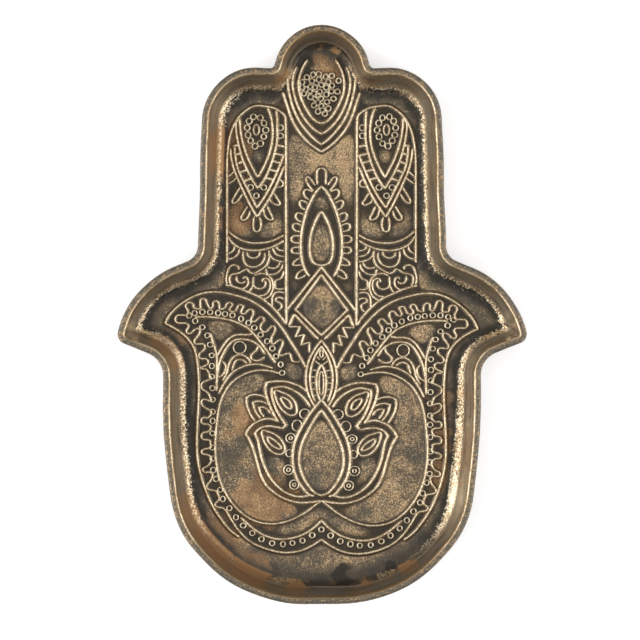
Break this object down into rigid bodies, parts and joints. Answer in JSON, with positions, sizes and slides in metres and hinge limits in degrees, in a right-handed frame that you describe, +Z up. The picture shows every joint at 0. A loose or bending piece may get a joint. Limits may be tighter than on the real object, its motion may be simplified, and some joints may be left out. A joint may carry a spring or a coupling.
{
  "type": "hamsa trinket dish",
  "caption": "Shallow cast dish in the outline of an open hand, with raised lines on its floor, a coved wall and a narrow rim, on felt pads; holds rings, keys and small trinkets.",
  "frame": {"origin": "on the table, under the middle of the dish's bounding box", "axes": "+Z up out of the dish, +Y along the hand towards the fingers, +X to the right seen from above"},
  "size_m": [0.1414, 0.2, 0.018],
  "materials": {
    "antique_bronze": "cast, with a dark antique bronze patina rubbed back to gold on the raised lines and the rim",
    "black_felt": "die-cut felt"
  },
  "bodies": {
    "root": {"dish_body": "antique_bronze", "felt_pad_finger_left": "black_felt", "felt_pad_finger_right": "black_felt", "felt_pad_palm_left": "black_felt", "felt_pad_palm_right": "black_felt"}
  },
  "joints": []
}
